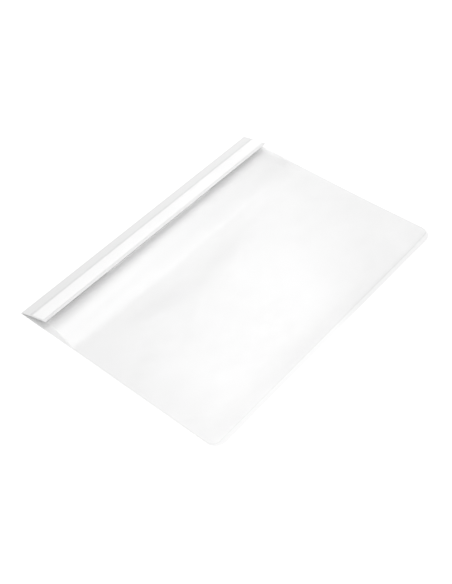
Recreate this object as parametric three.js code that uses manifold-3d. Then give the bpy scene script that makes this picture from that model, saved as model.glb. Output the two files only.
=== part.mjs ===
// A4 fastener folder, lying closed on its back cover.
// An opaque sheet is the back cover and folds at the spine into a narrow front flap. A clear front
// cover is welded under the flap, a clear label pocket is welded on it, and a two-prong paper
// fastener sits inside along the spine.
// Millimetres, +Z up. The spine runs along Y on the -X side, and the origin is on the table under
// the middle of the back cover.
import * as THREE from 'three';
import { mergeVertices } from 'three/addons/utils/BufferGeometryUtils.js';
import Module from 'manifold-3d';

const wasm = await Module();
wasm.setup();

const degree = Math.PI / 180;

// Driving dimensions: the opaque sheet
const coverWidth = 230;
const coverHeight = 310;
const coverCornerRadius = 11;
const coverSheet = 0.3;
const foldInnerRadius = 0.2;

// Driving dimensions: the front flap, which springs open and arches gently
const flapRun = 30.6;
const flapOpenAngle = 17.5 * degree;
const flapArchRadius = 170;
const flapEndSlant = 2;

// Driving dimensions: the clear front cover
const filmSheet = 0.2;
const filmUnderFlap = 19;
const filmFallRadius = 48;
const filmSideInset = 3.8;
const filmEndInset = 0.5;
const filmCornerRadius = 8;
const filmReliefDepth = 3.2;
const filmReliefStart = 8;
const filmReliefLength = 28;

// Driving dimensions: the label and its pocket on the flap
const labelSheet = 0.12;
const labelWidth = 13.4;
const labelEndInset = 1;
const pocketSheet = 0.12;
const pocketStart = 10.25;
const pocketSideWeld = 2.2;
const pocketEdgeWeld = 2.4;
const pocketEdgeInset = 0.4;
const pocketEndInset = 0.4;
const pocketRamp = 0.6;
const labelSideClearance = 0.3;

// Driving dimensions: the fastener, on a carrier strip welded inside the back cover
const fastenerFromSpine = 19;
const prongSpacing = 80;
const prongWidth = 6.4;
const prongSheet = 0.3;
const prongReach = 32;
const prongBendRadius = 0.35;
const carrierWidth = 14;
const carrierLength = 150;
const carrierSheet = 0.8;
const barWidth = 10.4;
const barLength = 104;
const barSheet = 0.5;
const barLipHeight = 1.1;
const barLipWidth = 0.8;

// Clearances
const weldClearance = 0.08;
const restClearance = 0.1;
const channelClearance = 0.1;
const slotClearance = 0.3;

// Facet sizes for the curves
const longestFacet = 3;
const widestTurn = 15 * degree;

// Solids and sections

function solidFrom(geometry) {
  geometry.deleteAttribute('normal');
  geometry.deleteAttribute('uv');
  const merged = mergeVertices(geometry, 1e-4);
  return new wasm.Manifold(new wasm.Mesh({
    numProp: 3,
    vertProperties: new Float32Array(merged.attributes.position.array),
    triVerts: new Uint32Array(merged.index.array),
  }));
}

function geometryFrom(solid) {
  const mesh = solid.getMesh();
  const geometry = new THREE.BufferGeometry();
  geometry.setAttribute('position', new THREE.BufferAttribute(mesh.vertProperties, 3));
  geometry.setIndex(new THREE.BufferAttribute(mesh.triVerts, 1));
  geometry.computeVertexNormals();
  return geometry;
}

// A flat outline in X and Y, raised from one height to another.
function raise(outline, low, high) {
  const geometry = new THREE.ExtrudeGeometry(outline, {
    depth: high - low,
    bevelEnabled: false,
    curveSegments: 8,
  });
  geometry.translate(0, 0, low);
  return solidFrom(geometry);
}

// A closed outline in X and Z, run along Y over a length centred on the origin.
function runAlongSpine(outline, length) {
  const shape = new THREE.Shape(outline);
  const geometry = new THREE.ExtrudeGeometry(shape, { depth: length, bevelEnabled: false });
  geometry.rotateX(Math.PI / 2);
  geometry.translate(0, length / 2, 0);
  return solidFrom(geometry);
}

// A closed outline in Y and Z, run along X over a width centred on one place.
function runAcrossSpine(outline, width, centre) {
  const shape = new THREE.Shape(outline);
  const geometry = new THREE.ExtrudeGeometry(shape, { depth: width, bevelEnabled: false });
  geometry.rotateY(Math.PI / 2);
  geometry.rotateX(Math.PI / 2);
  geometry.translate(centre - width / 2, 0, 0);
  return solidFrom(geometry);
}

// Follows a sheet's middle line through straight runs and bends. Each step gives a point and the
// heading there; a turn is positive towards the left.
function followBends(start, stretches) {
  const path = [start];
  for (const { length, turn } of stretches) {
    const steps = turn === 0
      ? 1
      : Math.max(Math.ceil(Math.abs(turn) / widestTurn), Math.ceil(length / longestFacet));
    for (let step = 0; step < steps; step += 1) {
      const from = path[path.length - 1];
      const heading = from.heading + turn / steps;
      const curvature = turn / length;
      path.push(turn === 0
        ? {
          across: from.across + length * Math.cos(heading),
          up: from.up + length * Math.sin(heading),
          heading,
        }
        : {
          across: from.across + (Math.sin(heading) - Math.sin(from.heading)) / curvature,
          up: from.up - (Math.cos(heading) - Math.cos(from.heading)) / curvature,
          heading,
        });
    }
  }
  return path;
}

function besidePath({ across, up, heading }, offset) {
  return new THREE.Vector2(across - offset * Math.sin(heading), up + offset * Math.cos(heading));
}

// The section of a sheet whose middle line is the path.
function sheetSection(path, thickness) {
  const right = path.map((point) => besidePath(point, -thickness / 2));
  const left = path.map((point) => besidePath(point, thickness / 2));
  return [...right, ...left.reverse()];
}

// A rectangle from one corner to another, with its +X corners rounded.
function roundedSideOutline(left, right, halfHeight, radius) {
  const outline = new THREE.Shape();
  outline.moveTo(left, -halfHeight);
  outline.lineTo(right - radius, -halfHeight);
  outline.absarc(right - radius, -halfHeight + radius, radius, -Math.PI / 2, 0, false);
  outline.lineTo(right, halfHeight - radius);
  outline.absarc(right - radius, halfHeight - radius, radius, 0, Math.PI / 2, false);
  outline.lineTo(left, halfHeight);
  outline.closePath();
  return outline;
}

function roundEndedOutline(centre, width, length) {
  const radius = width / 2;
  const straight = length / 2 - radius;
  const outline = new THREE.Shape();
  outline.moveTo(centre + radius, -straight);
  outline.lineTo(centre + radius, straight);
  outline.absarc(centre, straight, radius, 0, Math.PI, false);
  outline.lineTo(centre - radius, -straight);
  outline.absarc(centre, -straight, radius, Math.PI, 2 * Math.PI, false);
  return outline;
}

function boxOutline(left, right, bottom, top) {
  return new THREE.Shape([
    new THREE.Vector2(left, bottom),
    new THREE.Vector2(right, bottom),
    new THREE.Vector2(right, top),
    new THREE.Vector2(left, top),
  ]);
}

// Heights that cut an outline through every sheet of the folder
const belowAll = -5;
const aboveAll = 25;

// The spine fold: both leaves meet at its outermost line, where the cover turns.
const foldMiddleRadius = foldInnerRadius + coverSheet / 2;
const foldHeight = foldMiddleRadius + coverSheet / 2;
const foldCentre = foldHeight;
const backTop = coverSheet;

// Back cover: the flat sheet and the lower quarter of the fold.
function backCover() {
  const path = followBends(
    { across: coverSheet / 2, up: foldHeight, heading: -Math.PI / 2 },
    [
      { length: foldMiddleRadius * Math.PI / 2, turn: Math.PI / 2 },
      { length: coverWidth - foldCentre, turn: 0 },
    ],
  );
  const sheet = runAlongSpine(sheetSection(path, coverSheet), coverHeight);
  const outline = roundedSideOutline(-1, coverWidth, coverHeight / 2, coverCornerRadius);
  return sheet.intersect(raise(outline, belowAll, aboveAll));
}

// The flap: the upper part of the fold, then a shallow arch to the free edge.
const flapFoldTurn = Math.PI / 2 - flapOpenAngle;
const flapArchTurn = flapRun / flapArchRadius;
const flapPath = followBends(
  { across: coverSheet / 2, up: foldHeight, heading: Math.PI / 2 },
  [
    { length: foldMiddleRadius * flapFoldTurn, turn: -flapFoldTurn },
    { length: flapRun, turn: -flapArchTurn },
  ],
);
const flapRoot = followBends(
  { across: coverSheet / 2, up: foldHeight, heading: Math.PI / 2 },
  [{ length: foldMiddleRadius * flapFoldTurn, turn: -flapFoldTurn }],
).pop();
const flapEdge = flapPath[flapPath.length - 1];

// A point of the flap's middle line, by its distance from the fold.
function flapStation(distance) {
  return followBends(flapRoot, [{ length: distance, turn: -distance / flapArchRadius }]).pop();
}

// The flap's ends slant inwards from the fold to the free edge. What lies on the flap is cut with
// it, a little shorter at both ends.
function cutToFlap(strip, endInset) {
  const right = flapEdge.across + coverSheet;
  const half = coverHeight / 2 - endInset;
  const halfAtRight = half - flapEndSlant * right / flapEdge.across;
  const outline = new THREE.Shape([
    new THREE.Vector2(0, -half),
    new THREE.Vector2(right, -halfAtRight),
    new THREE.Vector2(right, halfAtRight),
    new THREE.Vector2(0, half),
  ]);
  return strip.intersect(raise(outline, belowAll, aboveAll));
}

function frontFlap() {
  return cutToFlap(runAlongSpine(sheetSection(flapPath, coverSheet), coverHeight), 0);
}

// Clear front cover: welded under the flap, falls to the back cover and lies flat on it.
const filmBelowFlap = coverSheet / 2 + weldClearance + filmSheet / 2;
const filmRestHeight = backTop + restClearance + filmSheet / 2;

function filmPath() {
  const root = flapStation(flapRun - filmUnderFlap);
  const start = besidePath(root, -filmBelowFlap);
  const weldTurn = filmUnderFlap / flapArchRadius;
  const weldLength = weldTurn * (flapArchRadius - filmBelowFlap);
  const exitHeight = besidePath(flapEdge, -filmBelowFlap).y;
  const drop = exitHeight - filmRestHeight;
  const steepest = Math.acos((1 + Math.cos(flapEdge.heading) - drop / filmFallRadius) / 2);
  const path = followBends(
    { across: start.x, up: start.y, heading: root.heading },
    [
      { length: weldLength, turn: -weldTurn },
      {
        length: filmFallRadius * (flapEdge.heading + steepest),
        turn: -(flapEdge.heading + steepest),
      },
      { length: filmFallRadius * steepest, turn: steepest },
    ],
  );
  const landing = path[path.length - 1];
  return followBends(landing, [{ length: coverWidth - filmSideInset - landing.across, turn: 0 }])
    .reduce((whole, point, index) => (index === 0 ? whole : [...whole, point]), path);
}

function filmOutline() {
  const right = coverWidth - filmSideInset;
  const half = coverHeight / 2 - filmEndInset;
  const reliefHalf = coverHeight / 2 - filmReliefDepth;
  const reliefStart = flapEdge.across + filmReliefStart;
  const reliefEnd = reliefStart + filmReliefLength;
  const outline = new THREE.Shape();
  outline.moveTo(0, -reliefHalf);
  outline.lineTo(reliefStart, -reliefHalf);
  outline.lineTo(reliefEnd, -half);
  outline.lineTo(right - filmCornerRadius, -half);
  outline.absarc(right - filmCornerRadius, -half + filmCornerRadius, filmCornerRadius, -Math.PI / 2, 0, false);
  outline.lineTo(right, half - filmCornerRadius);
  outline.absarc(right - filmCornerRadius, half - filmCornerRadius, filmCornerRadius, 0, Math.PI / 2, false);
  outline.lineTo(reliefEnd, half);
  outline.lineTo(reliefStart, reliefHalf);
  outline.lineTo(0, reliefHalf);
  outline.closePath();
  return outline;
}

function clearFrontCover() {
  const sheet = runAlongSpine(sheetSection(filmPath(), filmSheet), coverHeight);
  return sheet.intersect(raise(filmOutline(), belowAll, aboveAll));
}

// A strip that follows the flap's arch: heights above the flap's middle line, at distances from
// the fold, for its lower and its upper face.
function stripOnFlap(stations) {
  const lower = stations.map(({ distance, low }) => besidePath(flapStation(distance), low));
  const upper = stations.map(({ distance, high }) => besidePath(flapStation(distance), high));
  return [...lower, ...upper.reverse()];
}

function evenStations(from, to, low, high) {
  const steps = Math.ceil((to - from) / longestFacet);
  return Array.from({ length: steps + 1 }, (_, step) => (
    { distance: from + (to - from) * step / steps, low, high }
  ));
}

// Label: a paper strip on the flap, held flat by the pocket.
const labelSeat = coverSheet / 2 + weldClearance;
const labelTop = labelSeat + labelSheet;
const labelStart = pocketStart + pocketSideWeld + pocketRamp + labelSideClearance;

function paperLabel() {
  const stations = evenStations(labelStart, labelStart + labelWidth, labelSeat, labelTop);
  return cutToFlap(runAlongSpine(stripOnFlap(stations), coverHeight), labelEndInset);
}

// Label pocket: a clear strip, down on the flap at both welds and raised over the label between.
function labelPocket() {
  const edge = flapRun - pocketEdgeInset;
  const weldHigh = labelSeat + pocketSheet;
  const overLow = labelTop + weldClearance;
  const overHigh = overLow + pocketSheet;
  const stations = [
    ...evenStations(pocketStart, pocketStart + pocketSideWeld, labelSeat, weldHigh),
    ...evenStations(
      pocketStart + pocketSideWeld + pocketRamp,
      edge - pocketEdgeWeld - pocketRamp,
      overLow,
      overHigh,
    ),
    ...evenStations(edge - pocketEdgeWeld, edge, labelSeat, weldHigh),
  ];
  return cutToFlap(runAlongSpine(stripOnFlap(stations), coverHeight), pocketEndInset);
}

// Fastener: a carrier strip with a channel below for the prong strip and a slot for each prong.
const carrierTop = backTop + carrierSheet;
const barTop = carrierTop + barSheet;
const prongMiddleRadius = prongBendRadius + prongSheet / 2;
const slotWidth = prongWidth + 2 * slotClearance;
const slotLength = prongSheet + 2 * slotClearance;
const channelTop = backTop + prongSheet + channelClearance;

// One slot for each prong, cut through from below everything to above everything.
function prongSlots() {
  const slots = [-1, 1].map((side) => {
    const middle = side * (prongSpacing / 2);
    const outline = boxOutline(
      fastenerFromSpine - slotWidth / 2,
      fastenerFromSpine + slotWidth / 2,
      middle - slotLength / 2,
      middle + slotLength / 2,
    );
    return raise(outline, belowAll, aboveAll);
  });
  return slots[0].add(slots[1]);
}

function fastenerCarrier() {
  const strip = raise(roundEndedOutline(fastenerFromSpine, carrierWidth, carrierLength), backTop, carrierTop);
  const channelHalf = prongSpacing / 2 + slotLength / 2;
  const channel = raise(
    boxOutline(
      fastenerFromSpine - slotWidth / 2,
      fastenerFromSpine + slotWidth / 2,
      -channelHalf,
      channelHalf,
    ),
    belowAll,
    channelTop,
  );
  return strip.subtract(channel).subtract(prongSlots());
}

// Prong strip: up through the slots at both ends, then folded inwards over the bar.
function prongFastener() {
  const baseMiddle = backTop + prongSheet / 2;
  const foldedMiddle = barTop + restClearance + prongSheet / 2;
  const bend = { length: prongMiddleRadius * Math.PI / 2, turn: Math.PI / 2 };
  const rise = { length: foldedMiddle - baseMiddle - 2 * prongMiddleRadius, turn: 0 };
  const fold = { length: prongReach - prongMiddleRadius, turn: 0 };
  const base = { length: prongSpacing - 2 * prongMiddleRadius, turn: 0 };
  const path = followBends(
    { across: prongReach - prongSpacing / 2, up: foldedMiddle, heading: Math.PI },
    [fold, bend, rise, bend, base, bend, rise, bend, fold],
  );
  const strip = runAcrossSpine(sheetSection(path, prongSheet), prongWidth, fastenerFromSpine);
  const gap = prongSpacing - 2 * prongReach;
  const tips = raise(tipGapOutline(gap), barTop, aboveAll);
  return strip.subtract(tips);
}

// The space between the two folded prongs, with a hollow end for each rounded tip.
function tipGapOutline(gap) {
  const radius = prongWidth / 2;
  const half = gap / 2;
  const side = radius + slotClearance;
  const outline = new THREE.Shape();
  outline.moveTo(fastenerFromSpine + side, -half - radius);
  outline.lineTo(fastenerFromSpine + side, half + radius);
  outline.lineTo(fastenerFromSpine + radius, half + radius);
  outline.absarc(fastenerFromSpine, half + radius, radius, 0, -Math.PI, true);
  outline.lineTo(fastenerFromSpine - side, half + radius);
  outline.lineTo(fastenerFromSpine - side, -half - radius);
  outline.lineTo(fastenerFromSpine - radius, -half - radius);
  outline.absarc(fastenerFromSpine, -half - radius, radius, Math.PI, 0, true);
  outline.closePath();
  return outline;
}

// Compressor bar: a flat bar with a raised lip along both sides, on the carrier.
function compressorBar() {
  const left = fastenerFromSpine - barWidth / 2;
  const right = fastenerFromSpine + barWidth / 2;
  const section = [
    new THREE.Vector2(left, carrierTop),
    new THREE.Vector2(right, carrierTop),
    new THREE.Vector2(right, carrierTop + barLipHeight),
    new THREE.Vector2(right - barLipWidth, carrierTop + barLipHeight),
    new THREE.Vector2(right - barLipWidth, barTop),
    new THREE.Vector2(left + barLipWidth, barTop),
    new THREE.Vector2(left + barLipWidth, carrierTop + barLipHeight),
    new THREE.Vector2(left, carrierTop + barLipHeight),
  ];
  const bar = runAlongSpine(section, barLength);
  const ends = raise(roundEndedOutline(fastenerFromSpine, barWidth, barLength), belowAll, aboveAll);
  return bar.intersect(ends).subtract(prongSlots());
}

// Materials
const whiteSheet = new THREE.MeshStandardMaterial({ color: 0xe9ebec, roughness: 0.45, metalness: 0 });
const clearFilm = new THREE.MeshStandardMaterial({
  color: 0xf3f6f7, roughness: 0.2, metalness: 0, transparent: true, opacity: 0.35,
});
const labelPaper = new THREE.MeshStandardMaterial({ color: 0xfcfcfb, roughness: 0.85, metalness: 0 });
const zincSteel = new THREE.MeshStandardMaterial({ color: 0xb9bcbd, roughness: 0.35, metalness: 1 });

function pieceOf(name, solid, material) {
  const mesh = new THREE.Mesh(geometryFrom(solid), material);
  mesh.name = name;
  return mesh;
}

const folder = new THREE.Group();
folder.name = 'fastener_folder';
folder.position.set(-coverWidth / 2, 0, 0);
folder.add(
  pieceOf('back_cover', backCover(), whiteSheet),
  pieceOf('front_flap', frontFlap(), whiteSheet),
  pieceOf('clear_front_cover', clearFrontCover(), clearFilm),
  pieceOf('label_pocket', labelPocket(), clearFilm),
  pieceOf('paper_label', paperLabel(), labelPaper),
  pieceOf('fastener_carrier', fastenerCarrier(), whiteSheet),
  pieceOf('prong_fastener', prongFastener(), zincSteel),
  pieceOf('compressor_bar', compressorBar(), zincSteel),
);

export default folder;
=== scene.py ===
# %% [markdown]
# # A fastener folder, dressed for the camera
#
# An A4 report folder lies closed on its back cover. One opaque sheet is the back cover and folds at
# the spine into a narrow flap. A clear cover is welded under the flap, a label slides into a clear
# pocket on top of it, and a steel fastener for punched sheets hides beneath. The solids were made
# first and fix every size. This script gives each surface its real finish.

# %% Load the solids as a fixed frame
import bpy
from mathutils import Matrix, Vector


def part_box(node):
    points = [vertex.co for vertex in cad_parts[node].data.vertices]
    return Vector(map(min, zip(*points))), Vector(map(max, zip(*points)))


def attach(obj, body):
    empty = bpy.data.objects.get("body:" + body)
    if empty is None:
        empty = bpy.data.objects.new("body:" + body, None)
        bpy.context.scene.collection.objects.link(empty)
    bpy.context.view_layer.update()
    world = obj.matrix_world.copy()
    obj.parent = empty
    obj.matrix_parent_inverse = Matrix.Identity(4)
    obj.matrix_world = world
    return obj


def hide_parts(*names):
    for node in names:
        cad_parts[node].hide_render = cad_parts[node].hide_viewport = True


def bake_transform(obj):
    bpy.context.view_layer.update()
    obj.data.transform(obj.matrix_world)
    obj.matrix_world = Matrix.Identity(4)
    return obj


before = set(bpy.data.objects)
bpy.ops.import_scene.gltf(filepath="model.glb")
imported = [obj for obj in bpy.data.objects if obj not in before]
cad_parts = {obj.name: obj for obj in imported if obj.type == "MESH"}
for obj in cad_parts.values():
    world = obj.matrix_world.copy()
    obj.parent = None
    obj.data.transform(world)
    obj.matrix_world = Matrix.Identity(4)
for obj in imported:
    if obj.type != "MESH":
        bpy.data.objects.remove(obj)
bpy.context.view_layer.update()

# %% Modules and units
import math
from collections import namedtuple

import bpy
import numpy as np
from mathutils import Matrix, Vector

MM = 0.001
DEGREE = math.pi / 180

# %% [markdown]
# The sizes come from the solids where a box gives them: the spine's place, the free edges, the
# lengths. A box doesn't give the bends, the insets and the thin sheets' thicknesses, so those are
# repeated here.

# %% Sizes
back_low, back_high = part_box("back_cover")
_, flap_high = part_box("front_flap")
_, film_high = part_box("clear_front_cover")
carrier_low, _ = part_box("fastener_carrier")

SPINE = back_low.x
COVER_WIDTH = back_high.x - back_low.x
HALF_LENGTH = back_high.y
OPAQUE_SHEET = carrier_low.z
CORNER_RADIUS = 11 * MM
FOLD_INNER_RADIUS = 0.2 * MM
FOLD_RADIUS = FOLD_INNER_RADIUS + OPAQUE_SHEET / 2
FOLD_HEIGHT = back_high.z

FLAP_RUN = 30.6 * MM
FLAP_OPEN_ANGLE = 17.5 * DEGREE
FLAP_ARCH_RADIUS = 170 * MM
FLAP_FOOT_SLANT = 3.0 * MM
FLAP_HEAD_SLANT = 0.8 * MM

FILM_SHEET = 0.2 * MM
FILM_UNDER_FLAP = 19 * MM
FILM_FALL_RADIUS = 48 * MM
FILM_RIGHT = film_high.x - SPINE
FILM_HALF_LENGTH = film_high.y
FILM_CORNER_RADIUS = 8 * MM
FILM_RELIEF_INSET = 3.2 * MM
FILM_RELIEF_HALF_LENGTH = HALF_LENGTH - FILM_RELIEF_INSET
FILM_RELIEF_START = 8 * MM
FILM_RELIEF_LENGTH = 28 * MM
FILM_REST_GAP = 0.1 * MM
WELD_GAP = 0.08 * MM

LABEL_SHEET = 0.12 * MM
LABEL_WIDTH = 13.4 * MM
LABEL_END_INSET = 1.0 * MM
POCKET_SHEET = 0.12 * MM
POCKET_START = 10.25 * MM
POCKET_SIDE_WELD = 2.2 * MM
POCKET_EDGE_WELD = 2.4 * MM
POCKET_EDGE_INSET = 0.4 * MM
POCKET_END_INSET = 0.4 * MM
POCKET_RAMP = 0.6 * MM
LABEL_SIDE_GAP = 0.3 * MM
print("cover", COVER_WIDTH, "x", 2 * HALF_LENGTH, "sheet", OPAQUE_SHEET)

# %% [markdown]
# The camera stands in front and to the right, looking down at about 48 degrees. Its place, aim,
# roll and lens come from the four corners of the cover in the photograph.

# %% Camera
CAMERA_PLACE = Vector((0.4328, -0.4830, 0.6894))
CAMERA_AIM = Vector((0.0110, -0.0217, 0.0))
CAMERA_ROLL = 2.88 * DEGREE
CAMERA_LENS = 63.89


def add_camera():
    data = bpy.data.cameras.new("camera")
    data.lens = CAMERA_LENS
    camera = bpy.data.objects.new("camera", data)
    bpy.context.scene.collection.objects.link(camera)
    look = (CAMERA_AIM - CAMERA_PLACE).to_track_quat("-Z", "Y").to_matrix().to_4x4()
    roll = Matrix.Rotation(-CAMERA_ROLL, 4, "Z")
    camera.matrix_world = Matrix.Translation(CAMERA_PLACE) @ look @ roll
    bpy.context.scene.camera = camera
    return camera


camera = add_camera()
print("camera", camera.location[:], "lens", camera.data.lens)

# %% [markdown]
# Every sheet of the folder is a thin band that bends about lines along the spine. So each is made
# the same way: a path through straight runs and bends in the section, and that path swept along the
# spine. A sculpted or simulated sheet would only approach these plain bends.

# %% Paths through bends
Station = namedtuple("Station", "across up heading")
LONGEST_FACET = 2.0 * MM
WIDEST_TURN = 9 * DEGREE


def follow_bends(start, stretches):
    """Stations along a sheet's middle line; each stretch is (length, turn), left turns positive."""
    path = [start]
    for length, turn in stretches:
        steps = max(1, math.ceil(abs(turn) / WIDEST_TURN), math.ceil(length / LONGEST_FACET))
        for _ in range(steps):
            last = path[-1]
            heading = last.heading + turn / steps
            if turn:
                radius = length / turn
                across = last.across + radius * (math.sin(heading) - math.sin(last.heading))
                up = last.up - radius * (math.cos(heading) - math.cos(last.heading))
            else:
                across = last.across + length / steps * math.cos(heading)
                up = last.up + length / steps * math.sin(heading)
            path.append(Station(across, up, heading))
    return path


def beside(station, offset):
    """The station moved sideways, to the left of its heading."""
    return Station(
        station.across - offset * math.sin(station.heading),
        station.up + offset * math.cos(station.heading),
        station.heading,
    )


fold_start = Station(OPAQUE_SHEET / 2, FOLD_HEIGHT, math.pi / 2)
fold_turn = math.pi / 2 - FLAP_OPEN_ANGLE
flap_root = follow_bends(fold_start, [(FOLD_RADIUS * fold_turn, -fold_turn)])[-1]


def flap_station(distance):
    """A point of the flap's middle line, by its distance from the fold."""
    return follow_bends(flap_root, [(distance, -distance / FLAP_ARCH_RADIUS)])[-1]


flap_edge = flap_station(FLAP_RUN)
print("the flap's edge, mm", round(flap_edge.across / MM, 2), round(flap_edge.up / MM, 2))
print("the solid flap's box, mm", round((flap_high.x - SPINE) / MM, 2), round(flap_high.z / MM, 2))

# %% [markdown]
# A real sheet of plastic never lies quite flat. The cover's head corner curls up a little, and the
# clear film floats on the back cover in long shallow swells. These are what break its reflection
# into soft clouds, so they are in the mesh and not only in the finish.

# %% Curl and swells
CURL_HEIGHT = 1.6 * MM
CURL_REACH = 90 * MM
CURL_STRETCH = 2.0
SWELL_START = 62 * MM
SWELL_FADE = 26 * MM

# Each swell: place across and along the spine, its two half widths, its turn and its height.
SWELLS = [
    (98 * MM, 5 * MM, 12 * MM, 38 * MM, 14 * DEGREE, 0.50 * MM),
    (88 * MM, -80 * MM, 12 * MM, 30 * MM, -24 * DEGREE, 0.45 * MM),
    (150 * MM, 40 * MM, 42 * MM, 70 * MM, 20 * DEGREE, 0.55 * MM),
    (165 * MM, -90 * MM, 40 * MM, 26 * MM, -12 * DEGREE, 0.40 * MM),
    (205 * MM, -10 * MM, 12 * MM, 60 * MM, 6 * DEGREE, 0.30 * MM),
    (130 * MM, 128 * MM, 60 * MM, 22 * MM, 4 * DEGREE, 0.45 * MM),
]


def smooth(value, start, end):
    """0 before start, 1 after end, and an even ease between."""
    t = np.clip((value - start) / (end - start), 0, 1)
    return t * t * (3 - 2 * t)


def corner_curl(across, along):
    """How far the head corner at the open side has curled off the table."""
    reach = np.hypot(COVER_WIDTH - across, CURL_STRETCH * (HALF_LENGTH - along))
    return CURL_HEIGHT * (1 - smooth(reach, 0, CURL_REACH))


def soft_hills(hills, across, along):
    """The sum of soft round hills, each given as in SWELLS."""
    height = np.zeros_like(across)
    for place, middle, wide, long, turn, top in hills:
        x, y = across - place, along - middle
        u = (x * math.cos(turn) + y * math.sin(turn)) / wide
        v = (y * math.cos(turn) - x * math.sin(turn)) / long
        height += top * np.exp(-(u * u + v * v) / 2)
    return height


def film_swell(across, along):
    """How far the clear film floats above its rest on the back cover."""
    return soft_hills(SWELLS, across, along) * smooth(across, SWELL_START, SWELL_START + SWELL_FADE)


print("curl", CURL_HEIGHT / MM, "mm, swells", len(SWELLS))

# %% [markdown]
# The sweep: a grid of stations across and rows along the spine, once for the upper face and once
# for the lower, closed by walls round the rim. Rows crowd towards the ends, so that a narrow band
# along an edge can be marked on the mesh.

# %% Sweep a sheet
# How far the first rows lie from an end, in mm.
END_STEPS = [0, 0.35, 0.8, 1.5, 3, 6, 10]
ROW_SPACING = 3.0 * MM
SHARP_ANGLE = 35 * DEGREE


def row_shares(half_length):
    """Rows from one end to the other as shares of the half length."""
    ends = [1 - step * MM / half_length for step in END_STEPS]
    inner = ends[-1]
    count = round(2 * inner * half_length / ROW_SPACING)
    middle = [inner * (1 - 2 * i / count) for i in range(1, count)]
    upper = ends + middle
    return np.array(upper + [-share for share in reversed(ends)])


def grid_solid(name, upper, lower):
    """A closed mesh from two grids of points with the same stations and rows."""
    stations, rows, _ = upper.shape
    points = np.concatenate([upper.reshape(-1, 3), lower.reshape(-1, 3)])
    count = stations * rows

    def at(i, j, side):
        return side * count + i * rows + j

    faces = []
    for i in range(stations - 1):
        for j in range(rows - 1):
            faces.append((at(i, j, 0), at(i, j + 1, 0), at(i + 1, j + 1, 0), at(i + 1, j, 0)))
            faces.append((at(i, j, 1), at(i + 1, j, 1), at(i + 1, j + 1, 1), at(i, j + 1, 1)))
    rim = [(i, 0) for i in range(stations)]
    rim += [(stations - 1, j) for j in range(1, rows)]
    rim += [(i, rows - 1) for i in range(stations - 2, -1, -1)]
    rim += [(0, j) for j in range(rows - 2, 0, -1)]
    for (i, j), (k, l) in zip(rim, rim[1:] + rim[:1]):
        faces.append((at(i, j, 0), at(k, l, 0), at(k, l, 1), at(i, j, 1)))
    mesh = bpy.data.meshes.new(name)
    mesh.from_pydata(points.tolist(), [], faces)
    mesh.validate()
    piece = bpy.data.objects.new(name, mesh)
    bpy.context.scene.collection.objects.link(piece)
    return piece


def sweep(name, lower_path, upper_path, ends_at, lift=None):
    """A closed sheet between two paths of the section. At each station, ends_at gives its two ends
    along the spine, foot and head, from the station's number and its place across."""
    shares = (1 + row_shares(HALF_LENGTH)) / 2
    grids = []
    for path in (upper_path, lower_path):
        across = np.repeat([[s.across] for s in path], len(shares), axis=1)
        up = np.repeat([[s.up] for s in path], len(shares), axis=1)
        ends = np.array([ends_at(i, s.across) for i, s in enumerate(path)])
        along = ends[:, :1] + (ends[:, 1:] - ends[:, :1]) * shares
        if lift:
            up = up + lift(across, along)
        grids.append(np.stack([across + SPINE, along, up], axis=-1))
    piece = grid_solid(name, *grids)
    print(name, len(piece.data.vertices), "points")
    return piece


def around(path, thickness):
    """The lower and upper paths of a sheet whose middle line is the path."""
    return [beside(s, -thickness / 2) for s in path], [beside(s, thickness / 2) for s in path]


def mark(piece, name, value_at):
    """Stores a value at each point of the mesh, worked out from its place across, along and up. The
    first half of a sheet's points is the face to the left of its path."""
    points = np.array([v.co for v in piece.data.vertices])
    values = value_at(points[:, 0] - SPINE, points[:, 1], points[:, 2])
    attribute = piece.data.attributes.new(name, "FLOAT", "POINT")
    attribute.data.foreach_set("value", values.astype(np.float32))


def shade_smooth(piece):
    """Rounds the shading over the bends and keeps the rim sharp."""
    piece.data.shade_smooth()
    piece.data.set_sharp_from_angle(angle=SHARP_ANGLE)


# %% [markdown]
# Finishes are written as plain sums. `Wire` wraps a socket, so that maths on it adds the nodes it
# needs, and `Finish` holds one material and makes nearly all its nodes through one method.

# %% Shader helpers
# The mix node's sockets for colours come after those for numbers and vectors.
MIX_FACTOR, MIX_FIRST, MIX_SECOND, MIX_COLOUR = 0, 6, 7, 2


class Wire:
    """A socket inside a material, for maths that reads as Python."""

    def __init__(self, finish, socket):
        self.finish = finish
        self.socket = socket

    def maths(self, operation, first, second):
        return self.finish.node("ShaderNodeMath", {"operation": operation}, {0: first, 1: second})

    def __add__(self, other):
        return self.maths("ADD", self, other)

    def __sub__(self, other):
        return self.maths("SUBTRACT", self, other)

    def __mul__(self, other):
        return self.maths("MULTIPLY", self, other)

    def __pow__(self, other):
        return self.maths("POWER", self, other)

    def limited(self):
        """The value held between 0 and 1."""
        return self.maths("MINIMUM", self.maths("MAXIMUM", self, 0.0), 1.0)

    def between(self, least, most):
        """A value from 0 to 1 spread from least to most."""
        return self * (most - least) + least


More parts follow.
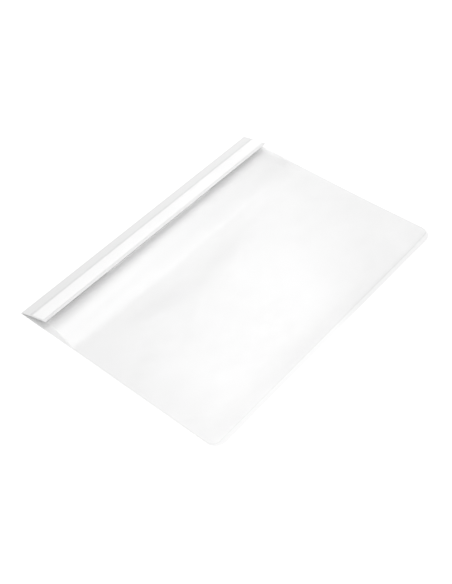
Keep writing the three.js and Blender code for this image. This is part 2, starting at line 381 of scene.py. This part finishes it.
class Finish:
    """One material, or the world, and the nodes in it."""

    def __init__(self, owner):
        self.owner = owner
        owner.use_nodes = True
        self.tree = owner.node_tree
        self.tree.nodes.clear()

    def node(self, kind, settings=None, sockets=None, output=0):
        made = self.tree.nodes.new(kind)
        for name, value in (settings or {}).items():
            setattr(made, name, value)
        for name, value in (sockets or {}).items():
            socket = made.inputs[name]
            if isinstance(value, Wire):
                self.tree.links.new(value.socket, socket)
            else:
                socket.default_value = value
        return Wire(self, made.outputs[output])

    def attribute(self, name):
        return self.node("ShaderNodeAttribute", {"attribute_name": name}, output="Fac")

    def noise(self, scale, detail, roughness=0.5, stretch=(1, 1, 1)):
        """Even noise over the piece's own metres, stretched along an axis by a small number there."""
        place = self.node("ShaderNodeTexCoord", output="Object")
        if stretch != (1, 1, 1):
            place = self.node("ShaderNodeMapping", sockets={"Vector": place, "Scale": stretch})
        sockets = {"Vector": place, "Scale": scale, "Detail": detail, "Roughness": roughness}
        return self.node("ShaderNodeTexNoise", sockets=sockets)

    def blend_colours(self, factor, first, second):
        sockets = {MIX_FACTOR: factor, MIX_FIRST: first, MIX_SECOND: second}
        return self.node("ShaderNodeMix", {"data_type": "RGBA"}, sockets, output=MIX_COLOUR)

    def blend_shaders(self, factor, first, second):
        return self.node("ShaderNodeMixShader", sockets={0: factor, 1: first, 2: second})

    def bump(self, height, distance, strength):
        sockets = {"Height": height, "Distance": distance, "Strength": strength}
        return self.node("ShaderNodeBump", sockets=sockets)

    def output(self, surface, kind="ShaderNodeOutputMaterial"):
        self.tree.links.new(surface.socket, self.tree.nodes.new(kind).inputs["Surface"])
        return self.owner


def finish_named(name):
    return Finish(bpy.data.materials.new(name))


def grey(level):
    return (level, level, level, 1)


# %% [markdown]
# The opaque sheet is white polypropylene with a fine rolled grain. It lets a little light through:
# where it lies on the white table it looks white, and the sprung flap with the dark gap under it
# looks greyer. That greyer tone is painted shade: the mesh carries it from 0 to 1, and the base
# colour goes from the lit tone to a darker painted one.

# %% White polypropylene
SHEET_LIT_TONE = grey(0.958)
SHEET_PAINTED_SHADE = grey(0.815)
SHEET_CLOUD = grey(0.80)
SHEET_CLOUD_SHARE = 0.03
SHEET_ROUGHNESS = (0.40, 0.50)


def white_polypropylene():
    finish = finish_named("white_polypropylene")
    cloud = finish.noise(scale=9.0, detail=3.0)
    grain = finish.noise(scale=2600.0, detail=1.0)
    painted_shade = finish.attribute("painted_shade")
    # The mesh's mark mixes in a darker tone: painted shade on the flap and on two rims.
    tone = finish.blend_colours(painted_shade, SHEET_LIT_TONE, SHEET_PAINTED_SHADE)
    shaded = finish.blend_colours(cloud * SHEET_CLOUD_SHARE, tone, SHEET_CLOUD)
    surface = finish.node("ShaderNodeBsdfPrincipled", sockets={
        "Base Color": shaded,
        "Roughness": grain.between(*SHEET_ROUGHNESS),
        "IOR": 1.49,
        "Normal": finish.bump(grain, distance=0.02 * MM, strength=0.5),
    })
    return finish.output(surface)


WHITE_SHEET = white_polypropylene()

# %% [markdown]
# The clear film shows only by what it mirrors and by its edges. Real refraction would throw noisy
# shadows through so thin a sheet, so the film is see-through straight on, mirrors as much as
# polypropylene does, and more at a low angle. It is hazy in faint clouds all over, and where the
# mesh marks an edge, a weld, or painted shade. It greys what lies under it a little, apart from the
# slope beside the flap, where leaving the tint out paints light into the flap's shadow.

# %% Clear polypropylene
CLEAN = grey(1.0)
FACE_MIRROR = 0.04
GRAZING_POWER = 5.0
FILM_ROUGHNESS = (0.16, 0.26)
FILM_HAZE = 0.008
CLOUD_FROM = 0.46
CLOUD_HAZE = 0.16


def clear_polypropylene(name, haze_tone, tint):
    finish = finish_named(name)
    facing = finish.node("ShaderNodeLayerWeight", sockets={"Blend": 0.5}, output="Facing")
    mirror = (facing ** GRAZING_POWER).between(FACE_MIRROR, 1)
    ripple = finish.noise(scale=32.0, detail=1.0)
    gloss = finish.node("ShaderNodeBsdfPrincipled", sockets={
        "Base Color": CLEAN,
        "Metallic": 1.0,
        "Roughness": ripple.between(*FILM_ROUGHNESS),
        "Normal": finish.bump(ripple, distance=0.3 * MM, strength=0.8),
    })
    untinted = finish.node("ShaderNodeBsdfTransparent", sockets={"Color": CLEAN})
    tinted = finish.node("ShaderNodeBsdfTransparent", sockets={"Color": tint})
    # Where the mark is 0 the tint is left out: painted light in the flap's shadow.
    through = finish.blend_shaders(finish.attribute("tint_share"), untinted, tinted)
    clear = finish.blend_shaders(mirror, through, gloss)
    body = finish.node("ShaderNodeBsdfPrincipled", sockets={"Base Color": haze_tone, "Roughness": 0.35})
    cloud = finish.noise(scale=13.0, detail=4.0, roughness=0.6, stretch=(1, 0.6, 1))
    clouds = (cloud - CLOUD_FROM).limited() * CLOUD_HAZE
    haze = (finish.attribute("hazy") + clouds + FILM_HAZE).limited()
    return finish.output(finish.blend_shaders(haze, clear, body))


CLEAR_COVER = clear_polypropylene("clear_cover_film", haze_tone=grey(0.90), tint=grey(0.981))
CLEAR_POCKET = clear_polypropylene("label_pocket_film", haze_tone=grey(0.78), tint=CLEAN)

# %% [markdown]
# The label is plain white paper: matt, with a faint tangle of fibres.

# %% Label paper
PAPER = grey(0.99)
PAPER_FIBRE = grey(0.965)
PAPER_FIBRE_SHARE = 0.25
PAPER_ROUGHNESS = (0.8, 0.9)


def label_paper():
    finish = finish_named("label_paper")
    fibres = finish.noise(scale=900.0, detail=4.0, stretch=(1, 0.25, 1))
    tone = finish.blend_colours(fibres * PAPER_FIBRE_SHARE, PAPER, PAPER_FIBRE)
    surface = finish.node("ShaderNodeBsdfPrincipled", sockets={
        "Base Color": tone,
        "Roughness": fibres.between(*PAPER_ROUGHNESS),
        "Normal": finish.bump(fibres, distance=0.02 * MM, strength=0.4),
    })
    return finish.output(surface)


LABEL_PAPER = label_paper()

# %% [markdown]
# The prongs and the bar are zinc-plated strip steel. Rolling leaves fine lines along the strip, so
# the noise is stretched along the spine.

# %% Zinc-plated steel
STEEL_DARK = (0.66, 0.67, 0.69, 1)
STEEL_LIGHT = (0.78, 0.79, 0.80, 1)
STEEL_ROUGHNESS = (0.22, 0.40)


def zinc_steel():
    finish = finish_named("zinc_steel")
    lines = finish.noise(scale=2200.0, detail=3.0, stretch=(1, 0.04, 1))
    bloom = finish.noise(scale=260.0, detail=2.0)
    tone = finish.blend_colours(bloom, STEEL_DARK, STEEL_LIGHT)
    surface = finish.node("ShaderNodeBsdfPrincipled", sockets={
        "Base Color": tone,
        "Metallic": 1.0,
        "Roughness": lines.between(*STEEL_ROUGHNESS),
        "Normal": finish.bump(lines, distance=0.02 * MM, strength=0.35),
    })
    return finish.output(surface)


ZINC_STEEL = zinc_steel()
print("finishes", [m.name for m in (WHITE_SHEET, CLEAR_COVER, CLEAR_POCKET, LABEL_PAPER, ZINC_STEEL)])

# %% [markdown]
# The back cover, the fold and the flap are one sheet, so they are one mesh that runs from the open
# side, round the spine, to the flap's free edge.

# %% Folded cover sheet
CORNER_STEP = 9 * DEGREE
STRAIGHT_WITHIN = 1 * DEGREE
FLAP_MARGIN = 1 * MM
# Heights over which the flap's painted shade comes in.
SHADE_FROM_HEIGHT = 0.35 * MM
SHADE_TO_HEIGHT = 0.9 * MM
# The head corner at the open side is darkened as painted shade.
CORNER_PAINTED_SHADE = 0.65
CORNER_SHADE_ALONG = (0 * MM, 45 * MM)
CORNER_SHADE_ACROSS = (221 * MM, 226.5 * MM)
# A painted shadow along the back cover's foot, beside the film's step.
RIM_PAINTED_SHADOW = 0.4
RIM_SHADOW_ALONG = (150 * MM, 152.5 * MM)
RIM_SHADOW_ACROSS = (55 * MM, 75 * MM)

# A bend line through the fold is worked out from these: it starts just over one sheet's thickness up,
# and leans out this much for each unit of rise.
BEND_START = 1.03
BEND_LEAN = 0.2


def corner_stations(radius):
    """Distances from the open side at which a rounded corner needs a station."""
    steps = round(math.pi / 2 / CORNER_STEP)
    return [radius * (1 - math.sin(i * CORNER_STEP)) for i in range(steps, 0, -1)]


def rounded_half_length(across, right, half_length, radius):
    """Half the length of a sheet with rounded corners on its open side."""
    into = max(0.0, across - (right - radius))
    return half_length - radius + math.sqrt(max(0.0, radius ** 2 - into ** 2))


def flap_ends(across, inset=0.0):
    """The flap's foot and head ends, each slanting inwards from the fold to the free edge."""
    share = min(1.0, max(0.0, across / flap_edge.across))
    return (
        -HALF_LENGTH + inset + FLAP_FOOT_SLANT * share,
        HALF_LENGTH - inset - FLAP_HEAD_SLANT * share,
    )


def cover_path():
    """From the open side along the back cover, round the fold and along the flap."""
    flat = [Station(COVER_WIDTH - d, OPAQUE_SHEET / 2, math.pi) for d in corner_stations(CORNER_RADIUS)]
    run = COVER_WIDTH - CORNER_RADIUS - FOLD_HEIGHT
    return flat + follow_bends(
        Station(COVER_WIDTH - CORNER_RADIUS, OPAQUE_SHEET / 2, math.pi),
        [
            (run, 0),
            (FOLD_RADIUS * math.pi / 2, -math.pi / 2),
            (FOLD_RADIUS * fold_turn, -fold_turn),
            (FLAP_RUN, -FLAP_RUN / FLAP_ARCH_RADIUS),
        ],
    )


def painted_shade_share(across, along, up):
    """Painted shade: 1 on the outer face of the sprung flap, and less on two rims of the back cover:
    at the open side by the head, where it is just off the table, and at the foot, as a painted
    shadow beside the film's step."""
    flap = smooth(up, SHADE_FROM_HEIGHT, SHADE_TO_HEIGHT) * (across < flap_edge.across + FLAP_MARGIN)
    flap[len(flap) // 2:] = 0  # the second half of the points is the inner face
    corner = CORNER_PAINTED_SHADE * smooth(along, *CORNER_SHADE_ALONG) * smooth(across, *CORNER_SHADE_ACROSS)
    rim = RIM_PAINTED_SHADOW * smooth(-along, *RIM_SHADOW_ALONG) * (1 - smooth(across, *RIM_SHADOW_ACROSS))
    return np.maximum(flap, np.maximum(corner, rim * (up < SHADE_FROM_HEIGHT)))


def cover_sheet():
    path = cover_path()
    turning = next(i for i, s in enumerate(path) if s.heading < math.pi - STRAIGHT_WITHIN)

    def ends_at(number, across):
        if number >= turning:
            return flap_ends(across)
        half = rounded_half_length(across, COVER_WIDTH, HALF_LENGTH, CORNER_RADIUS)
        return -half, half

    lower, upper = around(path, OPAQUE_SHEET)
    piece = sweep("folded_cover_sheet", lower, upper, ends_at, corner_curl)
    # Marks where the sheet's tone is darkened as painted shade.
    mark(piece, "painted_shade", painted_shade_share)
    shade_smooth(piece)
    piece.data.materials.append(WHITE_SHEET)
    bend_low = OPAQUE_SHEET * BEND_START
    bend_length = (flap_root.up - OPAQUE_SHEET / 2 - bend_low) / (1 + BEND_LEAN ** 2)
    SPINE - BEND_LEAN * bend_length
    bend_low + bend_length
    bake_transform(piece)
    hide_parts("back_cover", "front_flap")


cover_sheet()

# %% [markdown]
# The clear cover starts under the flap, where it is welded, comes out at the free edge, falls to the
# back cover in a double bend and lies on it with the swells made above. Its ends step in beside the
# flap. Its cut edges show as a fine grey line. Soft grey clouds of haze on it, and a grey end by the
# flap's head, are painted shade. The mesh marks all of these as `hazy`.

# %% Clear cover
EDGE_LINE = 1.2 * MM
EDGE_HAZE = 0.05
# Where the film's tint starts; leaving it out nearer the flap paints light into its shadow.
TINT_FROM_ACROSS = (33 * MM, 43 * MM)
TINT_FROM_ALONG = (132 * MM, 148 * MM)
HEAD_HAZE = 0.20
HEAD_HAZE_ALONG = (140 * MM, 152 * MM)
HEAD_HAZE_ACROSS = (50 * MM, 72 * MM)

# Each cloud of painted shade, given as the swells are, with its haze last.
PAINTED_SHADE_CLOUDS = [
    (84 * MM, -77 * MM, 10 * MM, 22 * MM, -8 * DEGREE, 0.090),
    (93 * MM, 8 * MM, 11 * MM, 36 * MM, 4 * DEGREE, 0.090),
    (221 * MM, -10 * MM, 9 * MM, 120 * MM, 0 * DEGREE, 0.070),
    (60 * MM, 136 * MM, 20 * MM, 14 * MM, 0 * DEGREE, 0.070),
    (205 * MM, 140 * MM, 30 * MM, 14 * MM, 0 * DEGREE, 0.040),
    (205 * MM, -140 * MM, 26 * MM, 22 * MM, 0 * DEGREE, 0.040),
]
film_below_flap = OPAQUE_SHEET / 2 + WELD_GAP + FILM_SHEET / 2
film_rest = OPAQUE_SHEET + FILM_REST_GAP + FILM_SHEET / 2


def film_path():
    root = beside(flap_station(FLAP_RUN - FILM_UNDER_FLAP), -film_below_flap)
    weld_turn = FILM_UNDER_FLAP / FLAP_ARCH_RADIUS
    drop = beside(flap_edge, -film_below_flap).up - film_rest
    steepest = math.acos((1 + math.cos(flap_edge.heading) - drop / FILM_FALL_RADIUS) / 2)
    falling = follow_bends(root, [
        (weld_turn * (FLAP_ARCH_RADIUS - film_below_flap), -weld_turn),
        (FILM_FALL_RADIUS * (flap_edge.heading + steepest), -(flap_edge.heading + steepest)),
        (FILM_FALL_RADIUS * steepest, steepest),
    ])
    landing = falling[-1]
    run = FILM_RIGHT - FILM_CORNER_RADIUS - landing.across
    lying = follow_bends(Station(landing.across, landing.up, 0), [(run, 0)])[1:]
    distances = reversed(corner_stations(FILM_CORNER_RADIUS))
    corner = [Station(FILM_RIGHT - distance, landing.up, 0) for distance in distances]
    return falling + lying + corner


def film_half_length(across):
    relief_start = flap_edge.across + FILM_RELIEF_START
    share = min(1.0, max(0.0, (across - relief_start) / FILM_RELIEF_LENGTH))
    relief = FILM_RELIEF_HALF_LENGTH + (FILM_HALF_LENGTH - FILM_RELIEF_HALF_LENGTH) * share
    return min(relief, rounded_half_length(across, FILM_RIGHT, FILM_HALF_LENGTH, FILM_CORNER_RADIUS))


def film_ends(number, across):
    half = film_half_length(across)
    return -half, half


def film_lift(across, along):
    return film_swell(across, along) + corner_curl(across, along)


def film_haze_and_shade(across, along, up):
    """A line on the cut edge; a grey end by the flap's head, partly its lifted edge and partly painted
    shade; and clouds of painted shade.
    """
    to_end = np.array([film_half_length(a) for a in across]) - np.abs(along)
    past_across = across - (FILM_RIGHT - FILM_CORNER_RADIUS)
    past_along = np.abs(along) - (FILM_HALF_LENGTH - FILM_CORNER_RADIUS)
    to_arc = FILM_CORNER_RADIUS - np.hypot(past_across, past_along)
    in_corner = (past_across > 0) & (past_along > 0)
    to_edge = np.where(in_corner, to_arc, np.minimum(to_end, FILM_RIGHT - across))
    # The grey end by the flap's head is partly the film's lifted edge and partly painted shade.
    by_head = HEAD_HAZE * smooth(along, *HEAD_HAZE_ALONG) * (1 - smooth(across, *HEAD_HAZE_ACROSS))
    line = EDGE_HAZE * (1 - smooth(to_edge, 0, EDGE_LINE))
    return line + by_head + soft_hills(PAINTED_SHADE_CLOUDS, across, along)


def film_tint_share(across, along, up):
    """0 in the slope beside the flap, where the tint is left out as painted light in the flap's shadow,
    1 on the rest of the film.
    """
    return np.maximum(smooth(across, *TINT_FROM_ACROSS), smooth(along, *TINT_FROM_ALONG))


def clear_cover():
    lower, upper = around(film_path(), FILM_SHEET)
    piece = sweep("clear_cover", lower, upper, film_ends, film_lift)
    mark(piece, "hazy", film_haze_and_shade)
    # Marks where the film's tint is left out, as painted light in the flap's shadow.
    mark(piece, "tint_share", film_tint_share)
    shade_smooth(piece)
    piece.data.materials.append(CLEAR_COVER)
    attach(piece, "front")
    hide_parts("clear_front_cover")


clear_cover()

# %% [markdown]
# The label lies on the flap and follows its arch. The pocket over it is a strip of film, down on the
# flap along both welds and raised by the label's thickness between them.

# %% Label and pocket
WELD_HAZE = 0.035
EDGE_WELD_HAZE = 0.008
POCKET_LINE = 0.5 * MM
STRIP_SPACING = 0.5 * MM
seat = OPAQUE_SHEET / 2 + WELD_GAP
label_start = POCKET_START + POCKET_SIDE_WELD + POCKET_RAMP + LABEL_SIDE_GAP
pocket_edge = FLAP_RUN - POCKET_EDGE_INSET


def strip_paths(stations):
    """Lower and upper paths of a strip on the flap, from (distance, low, high) heights."""
    lower = [beside(flap_station(d), low) for d, low, high in stations]
    upper = [beside(flap_station(d), high) for d, low, high in stations]
    return lower, upper


def even_stations(start, end, low, high):
    steps = math.ceil((end - start) / STRIP_SPACING)
    return [(start + (end - start) * i / steps, low, high) for i in range(steps + 1)]


def ends_on_flap(inset):
    """The ends of a strip, as sweep asks for them, that far inside the flap's own ends."""
    return lambda number, across: flap_ends(across, inset)


def paper_strip():
    stations = even_stations(label_start, label_start + LABEL_WIDTH, seat, seat + LABEL_SHEET)
    piece = sweep("label_strip", *strip_paths(stations), ends_on_flap(LABEL_END_INSET))
    shade_smooth(piece)
    piece.data.materials.append(LABEL_PAPER)
    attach(piece, "front")
    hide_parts("paper_label")


def pocket_haze(across, along, up):
    """The two welds: the one beside the spine is wide and grey, the one at the free edge is fine."""
    left = flap_station(POCKET_START).across
    left_end = flap_station(POCKET_START + POCKET_SIDE_WELD).across
    right = flap_station(pocket_edge - POCKET_EDGE_WELD).across
    side = WELD_HAZE * (1 - smooth(across, left_end - POCKET_LINE, left_end + POCKET_LINE))
    edge = EDGE_WELD_HAZE * smooth(across, right - POCKET_LINE, right)
    return side * smooth(across, left - MM, left) + edge


def pocket_strip():
    over = seat + LABEL_SHEET + WELD_GAP
    stations = even_stations(POCKET_START, POCKET_START + POCKET_SIDE_WELD, seat, seat + POCKET_SHEET)
    stations += even_stations(
        POCKET_START + POCKET_SIDE_WELD + POCKET_RAMP, pocket_edge - POCKET_EDGE_WELD - POCKET_RAMP,
        over, over + POCKET_SHEET,
    )
    stations += even_stations(pocket_edge - POCKET_EDGE_WELD, pocket_edge, seat, seat + POCKET_SHEET)
    piece = sweep("label_pocket_strip", *strip_paths(stations), ends_on_flap(POCKET_END_INSET))
    mark(piece, "hazy", pocket_haze)
    shade_smooth(piece)
    piece.data.materials.append(CLEAR_POCKET)
    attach(piece, "front")
    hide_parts("label_pocket")


paper_strip()
pocket_strip()

# %% [markdown]
# The fastener's solids already have their true form, so they stay and get their finish.

# %% Fastener
def dress(node, material):
    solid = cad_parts[node]
    solid.data.materials.clear()
    solid.data.materials.append(material)
    for polygon in solid.data.polygons:
        polygon.material_index = 0
    print(node, "in", material.name)


dress("fastener_carrier", WHITE_SHEET)
dress("prong_fastener", ZINC_STEEL)
dress("compressor_bar", ZINC_STEEL)

# %% [markdown]
# The light is a pale room with soft panels in its ceiling. The film mirrors those behind the folder
# and to the left: in the slope beside the flap, in its middle and nearer the head. The last panel is
# on the open side, where the film mirrors nothing, and only lightens the shadow under the flap.
# The table shows white to the camera but keeps the folder's soft shadow.

# %% Room, table and panels
ROOM_LIGHT = 0.75
TABLE_LIFT = 0.38
TABLE_SIZE = 6.0
TABLE_TONE = grey(0.9)
TABLE_ROUGHNESS = 0.9
CEILING = 0.90
SEEN_RAYS = ("Is Camera Ray", "Is Glossy Ray", "Is Transmission Ray")

# Each panel: its middle across and along the table, its two sides, all in metres, and its brightness.
PANELS = [
    (-0.1425, 0.220, 0.445, 0.45, 1.95),
    (-0.1425, 0.580, 0.445, 0.28, 1.15),
    (-0.465, 0.545, 0.20, 0.50, 1.55),
    (-0.630, 0.715, 0.13, 0.28, 0.45),
    (-1.015, 0.680, 0.57, 0.76, 1.20),
    (0.850, -0.100, 0.80, 0.80, 0.90),
]


def seen_directly(finish):
    """1 for what the camera, a mirror or clear plastic sees, 0 for light that falls on things."""
    path = finish.tree.nodes.new("ShaderNodeLightPath")
    camera_ray, mirror_ray, clear_ray = [Wire(finish, path.outputs[name]) for name in SEEN_RAYS]
    return (camera_ray + mirror_ray + clear_ray).limited()


def add_room():
    world = bpy.data.worlds.new("pale_room")
    finish = Finish(world)
    strength = seen_directly(finish).between(ROOM_LIGHT, 1)
    light = finish.node("ShaderNodeBackground", sockets={"Color": grey(1.0), "Strength": strength})
    finish.output(light, "ShaderNodeOutputWorld")
    bpy.context.scene.world = world


def add_table():
    half = TABLE_SIZE / 2
    mesh = bpy.data.meshes.new("table")
    corners = [(-half, -half, 0), (half, -half, 0), (half, half, 0), (-half, half, 0)]
    mesh.from_pydata(corners, [], [(0, 1, 2, 3)])
    table = bpy.data.objects.new("table", mesh)
    bpy.context.scene.collection.objects.link(table)
    finish = finish_named("table_white")
    surface = finish.node("ShaderNodeBsdfPrincipled", sockets={
        "Base Color": TABLE_TONE,
        "Roughness": TABLE_ROUGHNESS,
        "Specular IOR Level": 0.0,
        "Emission Color": grey(1.0),
        "Emission Strength": seen_directly(finish) * TABLE_LIFT,
    })
    mesh.materials.append(finish.output(surface))


def add_panel(across, along, wide, long, brightness):
    data = bpy.data.lights.new("soft_panel", "AREA")
    data.shape = "RECTANGLE"
    data.size = wide
    data.size_y = long
    data.energy = brightness * math.pi * wide * long
    panel = bpy.data.objects.new("soft_panel", data)
    panel.location = (across, along, CEILING)
    bpy.context.scene.collection.objects.link(panel)


add_room()
add_table()
for panel in PANELS:
    add_panel(*panel)
bpy.context.scene.view_settings.view_transform = "Standard"
print("room light", ROOM_LIGHT, "panels", len(PANELS))
